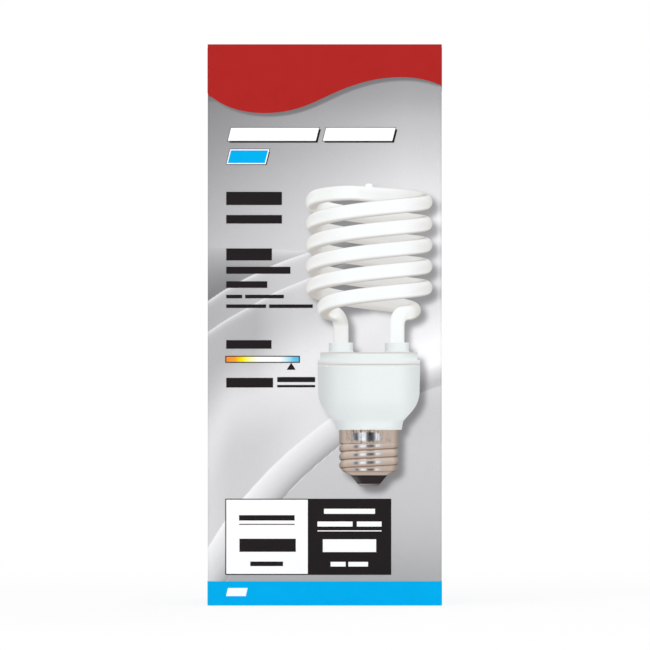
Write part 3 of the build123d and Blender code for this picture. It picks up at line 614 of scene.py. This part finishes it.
def silhouette(xs, zs):
    """1 where the pictured bulb covers a grid, and 0 elsewhere."""
    corners = []
    for node in pictured:
        points, triangles = piece_points(node)
        corners.append(points[triangles][:, :, (0, 2)])
    corners = np.concatenate(corners)
    corners[:, :, 0] = picture_axis + picture_share * corners[:, :, 0]
    corners[:, :, 1] = picture_zero + picture_share * corners[:, :, 1]
    low, high = corners[:, :, 1].min(axis=1), corners[:, :, 1].max(axis=1)
    cover = np.zeros((len(zs), len(xs)))
    for row, z in enumerate(zs):
        crossing = corners[(low <= z) & (high > z)]
        if len(crossing):
            cover[row] = row_cover(crossing, z, xs)
    return cover


def blurred(values, radius):
    """Values on a grid, blurred over a radius given in cells."""
    reach = int(3 * radius)
    weights = np.exp(-0.5 * (np.arange(-reach, reach + 1) / radius) ** 2)
    weights /= weights.sum()
    for axis in (0, 1):
        values = np.apply_along_axis(lambda line: np.convolve(line, weights, mode="same"), axis, values)
    return values


def picture_shadow(xs, zs):
    """The soft shadow that is printed to the lower right of the pictured bulb."""
    cover = silhouette(xs - shadow_right, zs + shadow_down)
    return blurred(cover, shadow_blur / (xs[1] - xs[0]))


def front_layer():
    """The printed silver field of the front, a thin sheet under the layers of ink."""
    top = height - front_top_gap
    edge = half_width - corner_radius
    flat = np.linspace(-edge, edge, int(round(2 * edge / front_cell)) + 1)
    bend = corner_radius * np.sin(np.radians(corner_turns))
    xs = np.concatenate((-edge - bend[::-1], flat, edge + bend))
    zs = np.linspace(front_foot, top, int(round((top - front_foot) / front_cell)) + 1)
    shadow = np.pad(picture_shadow(flat, zs), ((0, 0), (len(bend), len(bend))), mode="edge")
    mesh, points = grid_mesh("printed_front", xs, zs, field_level)
    x, z = points[:, 0], points[:, 2]
    edge_x, edge_z = header_edge()
    shade_edge = np.interp(x - header_shade_right, edge_x, edge_z) - header_shade_down
    tone = mix(header_shade_tone, field_tone(x, z), smooth(*header_shade_soft, shade_edge - z))
    tone = tone * (1.0 - shadow_depth * shadow.reshape(-1))
    colours = tone[:, None] + np.array(silver_tint)[None, :]
    rounded = np.abs(x) - edge
    colours[(rounded > -slack) & (z > np.interp(x, edge_x, edge_z) + rounded)] = red
    paint(mesh, colours)
    add_piece("printed_front", mesh, painted_print("front_print"))


def cut_copy(node, rows, columns):
    """A copy of a piece, cut along some heights and widths so that its colours can change there."""
    shape = bmesh.new()
    shape.from_mesh(nodes[node].data)
    bmesh.ops.remove_doubles(shape, verts=shape.verts, dist=1e-6)
    planes = [((0, 0, level * MM), (0, 0, 1)) for level in rows]
    planes += [((place * MM, 0, 0), (1, 0, 0)) for place in columns]
    for point, normal in planes:
        everything = shape.verts[:] + shape.edges[:] + shape.faces[:]
        bmesh.ops.bisect_plane(shape, geom=everything, plane_co=point, plane_no=normal)
    shape.normal_update()
    return shape


def pressed(name, node, colour_of, rows=(), columns=(), from_below=0.0, lift=picture_level, top=height):
    """A copy of a piece's near side, at the picture's scale, painted and pressed flat on the front."""
    shape = cut_copy(node, rows, columns)
    real = np.array([v.co for v in shape.verts]) / MM
    facing = np.array([v.normal for v in shape.verts])
    colours = linear(colour_of(real, facing))
    layer = shape.verts.layers.float_color.new("paint")
    hidden = [
        face for face in shape.faces
        if face.normal.y > -1e-3 or face.calc_center_median().z > top * MM
    ]
    for vertex, (x, y, z), colour in zip(shape.verts, real, colours):
        level = lift + picture_relief * (bulb_radius - y) / (2 * bulb_radius)
        vertex[layer] = (*colour, 1.0)
        vertex.co = ((picture_axis + picture_share * x) * MM, -(half_depth + level) * MM,
                     (picture_zero + picture_share * (z - from_below * y)) * MM)
    bmesh.ops.delete(shape, geom=hidden, context="FACES")
    mesh = bpy.data.meshes.new(name)
    shape.to_mesh(mesh)
    shape.free()
    return mesh


def tint_between(share, dark, light):
    """Colours between a dark and a light one, for shares from 0 to 1."""
    share = np.clip(share, 0.0, 1.0)[:, None]
    return np.asarray(dark, float)[None, :] * (1 - share) + np.asarray(light, float)[None, :] * share


def tube_colours(real, facing):
    """The pictured tube: bright near turns with a warm grey underside, and greyer far turns."""
    down = np.clip(-facing[:, 2], 0.0, 1.0)
    up = np.clip(facing[:, 2], 0.0, 1.0)
    side = np.clip(np.abs(facing[:, 0]), 0.0, 1.0)
    leg = smooth(leg_top, leg_top - 4.0, real[:, 2])
    near = np.maximum(smooth(3.0, -3.0, real[:, 1]), leg)
    rim = smooth(0.4, 0.05, -facing[:, 1])
    outwards = real[:, 0] / bulb_radius
    bright = 0.98 - 0.85 * smooth(0.6, 1.0, down) - 0.55 * smooth(0.84, 1.0, up)
    bright -= 0.2 * smooth(0.6, 1.0, side)
    bright -= 0.2 * smooth(0.45, 0.95, outwards) + 0.14 * smooth(-0.3, -0.75, outwards)
    far = 0.5 + 0.1 * up - 0.25 * smooth(0.2, 0.9, down) - 0.1 * smooth(0.6, 1.0, side)
    far += 0.35 * smooth(crown_foot, crown_foot + 4.0, real[:, 2]) * smooth(1.0, 0.2, outwards)
    share = mix(far, bright, near) - 0.25 * rim
    return tint_between(share, (188, 183, 178), (247, 250, 250))


def housing_colours(real, facing):
    """The pictured housing: pale blue-white, a little darker at its left and towards its foot."""
    across = np.clip(facing[:, 0], -1.0, 1.0)
    share = 0.72 + 0.26 * smooth(-0.8, 0.0, across) - 0.5 * smooth(0.55, 1.0, np.abs(across))
    share -= 0.2 * smooth(0.1, 0.8, -facing[:, 2])
    return tint_between(share, (192, 195, 197), (233, 239, 239))


def cover_colours(real, facing):
    """The pictured cover, with a warm line at its foot and at its step."""
    colours = housing_colours(real, facing)
    line = smooth(0.75, 0.35, np.abs(real[:, 2] - seam - 0.1))
    line = np.maximum(line, 0.8 * smooth(0.5, 0.2, np.abs(real[:, 2] - seam - cover_step_rise)))
    warm = np.array((204.0, 198.0, 191.0))[None, :]
    return colours * (1 - line[:, None]) + warm * line[:, None]


def cap_streaks(across):
    """The bright and dark streaks that the cap's metal mirrors near its middle."""
    tones = (
        (-0.56, 185), (-0.48, 130), (-0.42, 88), (-0.33, 190), (-0.25, 248), (-0.12, 232),
        (-0.04, 100), (0.1, 66), (0.17, 120), (0.25, 235), (0.33, 225), (0.42, 185),
    )
    places, values = zip(*tones)
    return np.interp(across, places, values)[:, None] + np.array((-2.0, 0.0, 5.0))[None, :]


def streak_weight(across, up, z, threaded):
    """Where the streaks show: in a patch on the skirt, on each crest and once under the thread."""
    patch = np.abs((across + 0.08) / 0.5) ** 3 + np.abs((z - shell_top + 3.1) / 1.9) ** 3
    skirt = smooth(1.3, 0.8, patch)
    crest = 0.8 * threaded * smooth(0.5, 0.1, np.abs(up - 0.15))
    crest *= smooth(shell_top - 5.8, shell_top - 6.4, z) * smooth(thread_end + 0.6, thread_end + 1.4, z)
    crest = np.maximum(crest, 0.8 * smooth(0.65, 0.25, np.abs(z - foot_glint)))
    return np.maximum(skirt, crest * smooth(0.58, 0.46, np.abs(across + 0.05)))


def cap_colours(real, facing):
    """The pictured screw shell: warm grey metal with bright and dark streaks near its middle."""
    radius = np.hypot(real[:, 0], real[:, 1])
    across = real[:, 0] / np.maximum(radius, 0.1)
    z, up = real[:, 2], facing[:, 2]
    threaded = smooth(thread_end, thread_end + 0.6, z)
    share = 0.78 + 0.3 * np.clip(up, -0.2, 1.0) - 0.95 * threaded * smooth(0.4, 0.85, -up)
    base = tint_between(share, (128, 100, 84), (206, 192, 182))
    weight = streak_weight(across, up, z, threaded)[:, None]
    shade = 1.0 - 0.22 * smooth(0.8, 1.0, np.abs(across))
    shade -= 0.2 * smooth(0.4, 0.1, np.abs(z - foot_line))
    return (base * (1 - weight) + cap_streaks(across) * weight) * shade[:, None]


def tip_colours(real, facing):
    """The pictured insulator: nearly black, with a faint sheen at its left."""
    sheen = smooth(0.35, 0.75, -facing[:, 0]) * smooth(0.2, 0.6, -facing[:, 2])
    return tint_between(0.45 * sheen, (44, 38, 41), (150, 140, 136))


def contact_colours(real, facing):
    """The pictured contact: dull grey metal."""
    share = 0.5 - 0.5 * facing[:, 0]
    return tint_between(share, (92, 84, 83), (160, 150, 148))


def joined_mesh(name, meshes):
    """One mesh from several."""
    whole = bmesh.new()
    for mesh in meshes:
        whole.from_mesh(mesh)
    result = bpy.data.meshes.new(name)
    whole.to_mesh(result)
    whole.free()
    return result


def bulb_picture():
    """The printed picture of the bulb, painted on flat copies of the bulb's own pieces."""
    tube = pressed("pictured_tube", "discharge_tube", tube_colours, from_below=tube_from_below)
    cover_rows = (seam + 0.5, seam + 1.0, seam + 4.9, seam + 5.3)
    cover = pressed("pictured_cover", "upper_cover", cover_colours, cover_rows)
    housing_rows = (seam - 0.6, seam - 4.0, seam - 8.0)
    housing = pressed("pictured_bowl", "ballast_housing", housing_colours, housing_rows)
    body = joined_mesh("pictured_housing", [cover, housing])
    cap_rows = [*np.arange(6.7, 10.2, 0.3), *np.arange(shell_top - 5.6, shell_top, 0.6)]
    cap_columns = np.arange(-8.0, 6.6, 0.5)
    cap = pressed("pictured_cap", "screw_cap_shell", cap_colours, cap_rows, cap_columns)
    rim = lip + 0.05
    tip = pressed("pictured_insulator", "cap_insulator", tip_colours, (rim,), lift=tip_level, top=rim)
    contact = pressed(
        "pictured_contact", "centre_contact", contact_colours, (lip,), lift=tip_level, top=lip,
    )
    end = joined_mesh("pictured_tip", [tip, contact])
    ink = painted_print("picture_print")
    tube_layers = ("print_picture_tube", "print_picture_tube_shade")
    add_piece("pictured_tube", tube, ink, replaced=tube_layers)
    housing_layers = ("print_picture_housing",)
    add_piece("pictured_housing", body, ink, replaced=housing_layers)
    add_piece("pictured_cap", cap, ink, replaced=("print_picture_cap",))
    add_piece("pictured_tip", end, ink)


def islands(node):
    """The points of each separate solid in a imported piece, in millimetres."""
    points, triangles = piece_points(node)
    group = np.arange(len(points))
    changed = True
    while changed:
        lowest = group[triangles].min(axis=1)
        before = group.copy()
        for corner in range(3):
            np.minimum.at(group, triangles[:, corner], lowest)
        changed = bool((group != before).any())
    keys = np.round(points, 3)
    _, same = np.unique(keys, axis=0, return_inverse=True)
    return merged_islands(points, group, same.reshape(-1))


def merged_islands(points, group, same):
    """Joins groups that share a place, and gives the points of each."""
    parent = {int(number): int(number) for number in np.unique(group)}

    def root(number):
        while parent[number] != number:
            number = parent[number]
        return number

    first = {}
    for number, place in zip(group, same):
        other = first.setdefault(int(place), int(number))
        parent[root(int(number))] = root(other)
    roots = np.array([root(int(number)) for number in group])
    return [points[roots == number] for number in np.unique(roots)]


def bar_corners(points, grow):
    """The four corners of a slanted bar on the front, grown outwards."""
    foot, top = points[:, 2].min(), points[:, 2].max()
    low = points[points[:, 2] < foot + slack, 0]
    high = points[points[:, 2] > top - slack, 0]
    lean = (high.min() - low.min()) / (top - foot) * grow
    return [(low.min() - grow - lean, foot - grow), (low.max() + grow - lean, foot - grow),
            (high.max() + grow + lean, top + grow), (high.min() - grow + lean, top + grow)]


def outline_mesh(name, bars, start, end, level):
    """Thin rims round some slanted bars, from one distance outside them to another."""
    vertices, faces = [], []
    for points in bars:
        inner, outer = bar_corners(points, start), bar_corners(points, end)
        base = len(vertices)
        vertices += [(x * MM, -(half_depth + level) * MM, z * MM) for x, z in inner + outer]
        for k in range(4):
            after = (k + 1) % 4
            faces.append((base + k, base + 4 + k, base + 4 + after, base + after))
    mesh = bpy.data.meshes.new(name)
    mesh.from_pydata(vertices, [], faces)
    return mesh


def title_rims():
    """The title's fine outlines: dark round the white bars, and white then dark round the blue one."""
    white_bars = [points for points in islands("print_white_marks") if points[:, 2].min() > title_foot]
    blue_bar = [points for points in islands("print_blue_marks") if points[:, 2].min() > title_foot]
    pale = satin_ink("rim_white_ink", white)
    dark = satin_ink("rim_dark_ink", black)
    inner = outline_mesh("title_rim_white", blue_bar, 0.0, white_rim, rim_level)
    add_piece("title_rim_white", inner, pale)
    fine = outline_mesh("title_rim_dark", white_bars, 0.0, dark_rim, rim_level)
    add_piece("title_rim_dark", fine, dark)
    outer = outline_mesh("blue_rim_dark", blue_bar, white_rim, blue_bar_rim, rim_level)
    add_piece("blue_rim_dark", outer, dark)


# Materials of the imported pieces

# The colour scale's length on the front, and the margin at its foot and top
scale_length = 18.8
scale_margin = 0.05

# The dust flaps lie less than this below the carton's top
flap_margin = 1.2

# A printed face lies at least this far out from the middle of the sleeve or from the lid's fold
printed_reach = 20.0


def satin_ink(name, colour):
    """Print with a satin coat: a slightly clouded colour over a fine paper grain."""
    shader = Shader(name, colour, 0.5, specular=0.03)
    shader.colour(shader.speckle(colour, 0.012, 5.0))
    shader.rough(shader.noise(1.5), 0.46, 0.56)
    shader.bump(shader.noise(0.6, stretch=paper_grain), 0.01)
    return shader


def scale_ink(name, colour):
    """Print that turns into the colour scale inside the scale's own frame."""
    shader = satin_ink(name, colour)
    low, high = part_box("print_amber_mark")
    _, (x, _, z) = shader.place()
    above = shader.math("GREATER_THAN", z, low.z - scale_margin * MM)
    below = shader.math("LESS_THAN", z, high.z + scale_margin * MM)
    inside = shader.math("MULTIPLY", above, below)
    stops = (
        (0.0, (240, 140, 60)), (0.12, (247, 160, 40)), (0.24, (255, 240, 0)),
        (0.36, (255, 250, 190)), (0.45, (255, 255, 255)), (0.72, (255, 255, 255)),
        (0.84, (190, 230, 245)), (0.92, (110, 195, 235)), (1.0, (90, 180, 226)),
    )
    tones = shader.ramp(shader.span(x, low.x, low.x + scale_length * MM), stops)
    plain = shader.surface.inputs["Base Color"].links[0].from_socket
    shader.colour(shader.blend(inside, plain, tones))
    return shader


def silver_ramp(shader, share, tones):
    """A ramp of silver greys by height."""
    return shader.ramp(share, [(place, (tone - 1, tone - 1, tone + 1)) for place, tone in tones])


def printed_colour(shader):
    """The silver print of the sides and the back, with the front's bands, and the white dust flaps."""
    _, (x, _, z) = shader.place()
    share = shader.span(z, 0.0, height * MM)
    left_tones = (
        (0.04, 212), (0.11, 236), (0.2, 219), (0.31, 226), (0.41, 184), (0.48, 212),
        (0.52, 182), (0.55, 218), (0.56, 143), (0.66, 190), (0.9, 145), (1.0, 132),
    )
    right_tones = (
        (0.05, 172), (0.12, 190), (0.2, 203), (0.39, 214), (0.405, 204), (0.43, 252),
        (0.48, 252), (0.55, 232), (0.69, 246), (0.79, 220), (0.88, 190), (0.95, 168),
    )
    left = silver_ramp(shader, share, left_tones)
    right = silver_ramp(shader, share, right_tones)
    silver = shader.blend(shader.span(x, -half_width * MM, half_width * MM), left, right)
    flap = shader.math("GREATER_THAN", z, (height - flap_margin) * MM)
    return shader.blend(flap, silver, (236, 235, 232))


def lid_colour(shader):
    """The lid's plain red print."""
    return shader.speckle(red, 0.02, 6.0)


def facing_out(shader, centre):
    """How far a face lies outwards from a centre, along its own direction, in metres."""
    where = shader.add("ShaderNodeTexCoord")
    offset = shader.add("ShaderNodeVectorMath", operation="SUBTRACT")
    shader.fill(offset.inputs[0], where.outputs["Object"])
    offset.inputs[1].default_value = [v * MM for v in centre]
    reach = shader.add("ShaderNodeVectorMath", operation="DOT_PRODUCT")
    shader.fill(reach.inputs[0], offset.outputs[0])
    shader.fill(reach.inputs[1], where.outputs["Normal"])
    split = shader.add("ShaderNodeSeparateXYZ")
    shader.fill(split.inputs[0], where.outputs["Normal"])
    return reach.outputs["Value"], split.outputs[2]


def sleeve_outside(shader):
    """1 on the sleeve's printed side, and 0 inside and along the front wall's cut edge."""
    reach, upward = facing_out(shader, (0.0, 0.0, height / 2))
    _, (_, y, _) = shader.place()
    outer = shader.math("GREATER_THAN", reach, printed_reach * MM)
    edge_row = shader.math("LESS_THAN", y, (board - half_depth) * MM)
    cut_edge = shader.math("MULTIPLY", edge_row, shader.math("GREATER_THAN", upward, 0.7))
    return shader.math("SUBTRACT", outer, cut_edge)


def lid_outside(shader):
    """1 on the lid's printed side: its top and the front of its tongue."""
    reach, upward = facing_out(shader, (0.0, half_depth - board / 2, height - board / 2))
    tongue = shader.math("GREATER_THAN", reach, printed_reach * MM)
    top = shader.math("GREATER_THAN", upward, 0.5)
    return shader.math("MAXIMUM", tongue, top)


def board_shader(name, printed, outside):
    """Folding board: printed and coated outside, with raw pressed fibres inside and along its edges."""
    shader = Shader(name, grey, 0.5, specular=0.06)
    fibres = shader.noise(0.9, detail=6.0, stretch=(1.0, 1.0, 4.0), rough=0.7)
    flecks = shader.noise(0.3, detail=2.0)
    raw = shader.ramp(fibres, ((0.3, (150, 138, 122)), (0.7, (182, 171, 154))))
    raw = shader.blend(shader.math("GREATER_THAN", flecks, 0.68), raw, (112, 98, 84))
    out = outside(shader)
    shader.colour(shader.blend(out, raw, printed(shader)))
    raw_roughness, coated_roughness = 0.9, 0.48
    gloss = shader.span(out, 0.0, 1.0, raw_roughness, coated_roughness)
    shader.fill(shader.surface.inputs["Roughness"], gloss)
    shader.bump(shader.noise(0.6, stretch=paper_grain), 0.015)
    return shader


def glass_white():
    """White coated glass tube, with a smooth clear outside."""
    shader = Shader("coated_glass", (240, 242, 240), 0.35, specular=0.4)
    shader.colour(shader.speckle((238, 240, 238), 0.015, 2.5))
    shader.surface.inputs["Coat Weight"].default_value = 0.8
    shader.surface.inputs["Coat Roughness"].default_value = 0.06
    return shader


def plastic(name, colour, roughness=0.32):
    """Moulded plastic with a very fine grain."""
    shader = Shader(name, colour, roughness, specular=0.45)
    shader.colour(shader.speckle(colour, 0.012, 3.0))
    shader.rough(shader.noise(1.2), roughness - 0.04, roughness + 0.05)
    shader.bump(shader.noise(0.35), 0.006)
    return shader


def metal(name, colour, roughness, cell=0.8):
    """Bare or plated metal, a little clouded and rubbed."""
    shader = Shader(name, colour, roughness, metallic=1.0)
    shader.colour(shader.speckle(colour, 0.03, 2.2))
    shader.rough(shader.noise(cell), roughness - 0.04, roughness + 0.06)
    shader.bump(shader.noise(cell / 2), 0.006)
    return shader


def rough_body(name, colour, roughness, amount=0.08, cell=0.6, depth=0.02):
    """A dull body with a visible grain."""
    shader = Shader(name, colour, roughness, specular=0.3)
    shader.colour(shader.speckle(colour, amount, cell))
    shader.rough(shader.noise(cell), roughness - 0.08, roughness + 0.08)
    shader.bump(shader.noise(cell / 2), depth)
    return shader


def laminate():
    """Circuit board: pale brown pressed paper with a green face below."""
    shader = Shader("laminate", (176, 138, 84), 0.55, specular=0.3)
    layers = shader.noise(0.7, stretch=(6.0, 1.0, 0.3))
    brown = shader.ramp(layers, ((0.3, (160, 122, 70)), (0.7, (186, 150, 96))))
    _, downward = facing_out(shader, (0.0, 0.0, 0.0))
    under = shader.math("LESS_THAN", downward, -0.7)
    traces = shader.ramp(shader.noise(1.6, detail=1.0), ((0.49, (28, 92, 52)), (0.51, (52, 128, 70))))
    shader.colour(shader.blend(under, brown, traces))
    shader.bump(layers, 0.01)
    return shader


def winding():
    """Enamelled copper wire in close turns, with painted shade in the grooves between them."""
    shader = Shader("copper_winding", (184, 98, 48), 0.3, metallic=0.9)
    turns = shader.add("ShaderNodeTexWave", wave_type="BANDS", bands_direction="Z")
    where, _ = shader.place()
    shader.fill(turns.inputs["Vector"], where)
    turns.inputs["Scale"].default_value = 900.0
    turns.inputs["Distortion"].default_value = 0.6
    # Painted shade: the colour ramp darkens the wire in the grooves between its turns.
    shader.colour(shader.ramp(turns.outputs["Fac"], ((0.0, (120, 56, 26)), (0.6, (196, 108, 54)))))
    shader.bump(turns.outputs["Fac"], 0.05)
    return shader


def banded(name, node, body, band, start, end):
    """A body with a painted band across part of its length."""
    shader = Shader(name, body, 0.4, specular=0.4)
    low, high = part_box(node)
    axis = max(range(3), key=lambda number: high[number] - low[number])
    _, parts = shader.place()
    share = shader.span(parts[axis], low[axis], high[axis])
    above = shader.math("GREATER_THAN", share, start)
    inside = shader.math("MULTIPLY", above, shader.math("LESS_THAN", share, end))
    shader.colour(shader.blend(inside, shader.speckle(body, 0.06, 0.8), band))
    shader.bump(shader.noise(0.4), 0.008)
    return shader


def dress_carton():
    """The board and every layer of ink."""
    dress("carton_sleeve", board_shader("carton_board", printed_colour, sleeve_outside))
    dress("carton_lid", board_shader("lid_board", lid_colour, lid_outside))
    dress("print_header_red", satin_ink("header_ink", red))
    dress("print_foot_band_blue", satin_ink("band_ink", cyan))
    dress("print_dark_marks", satin_ink("dark_ink", black))
    dress("print_white_marks", scale_ink("white_ink", white))
    dress("print_blue_marks", scale_ink("blue_ink", cyan))
    dress("print_amber_mark", scale_ink("amber_ink", (255, 190, 30)))
    dress("print_picture_tube", satin_ink("tube_ink", (250, 250, 250)))
    dress("print_picture_tube_shade", satin_ink("tube_shade_ink", (214, 208, 202)))
    dress("print_picture_housing", satin_ink("housing_ink", (236, 242, 242)))
    dress("print_picture_cap", satin_ink("cap_ink", (188, 173, 164)))


def dress_bulb():
    """The bulb's outside: glass, plastic and cap."""
    moulding = plastic("white_plastic", (238, 240, 240))
    dress("discharge_tube", glass_white())
    dress("upper_cover", moulding)
    dress("ballast_housing", moulding)
    dress("screw_cap_shell", metal("plated_shell", (214, 206, 194), 0.26))
    dress("cap_insulator", plastic("dark_glass", (26, 22, 26), 0.12))
    dress("centre_contact", metal("solder", (176, 172, 170), 0.34, 0.5))


def dress_inner_works():
    """The electronics and the tube's ends, which the housing hides."""
    wire = metal("tinned_wire", (200, 198, 194), 0.28)
    cement = rough_body("cement", (226, 220, 206), 0.85, 0.06, 0.7, 0.05)
    epoxy = plastic("black_epoxy", (30, 30, 32), 0.5)
    dip = rough_body("film_dip", (150, 62, 34), 0.3, 0.05, 1.4, 0.01)
    ferrite = rough_body("ferrite", (62, 60, 62), 0.55, 0.12, 0.4, 0.02)
    dress("circuit_board", laminate())
    sleeve = banded("capacitor_sleeve", "reservoir_capacitor", (40, 44, 58), (186, 188, 192), 0.9, 1.1)
    dress("reservoir_capacitor", sleeve)
    dress("choke_core", ferrite)
    dress("choke_winding", winding())
    dress("drive_ring", ferrite)
    resistor = banded("resistor_body", "fuse_resistor", (196, 176, 138), (120, 70, 40), 0.42, 0.5)
    dress("fuse_resistor", resistor)
    for name in sorted(nodes):
        if name.startswith(("base_lead", "tube_lead")):
            dress(name, wire)
        elif name.startswith("tube_cement"):
            dress(name, cement)
        elif name.startswith("switching_transistor"):
            dress(name, epoxy)
        elif name.startswith("film_capacitor"):
            dress(name, dip)
        elif name.startswith("rectifier_diode"):
            dress(name, banded(name + "_body", name, (32, 32, 34), (206, 206, 206), 0.4, 0.5))


place_camera()
make_floor()
light_scene()
dress_carton()
dress_bulb()
dress_inner_works()
front_layer()
bulb_picture()
title_rims()
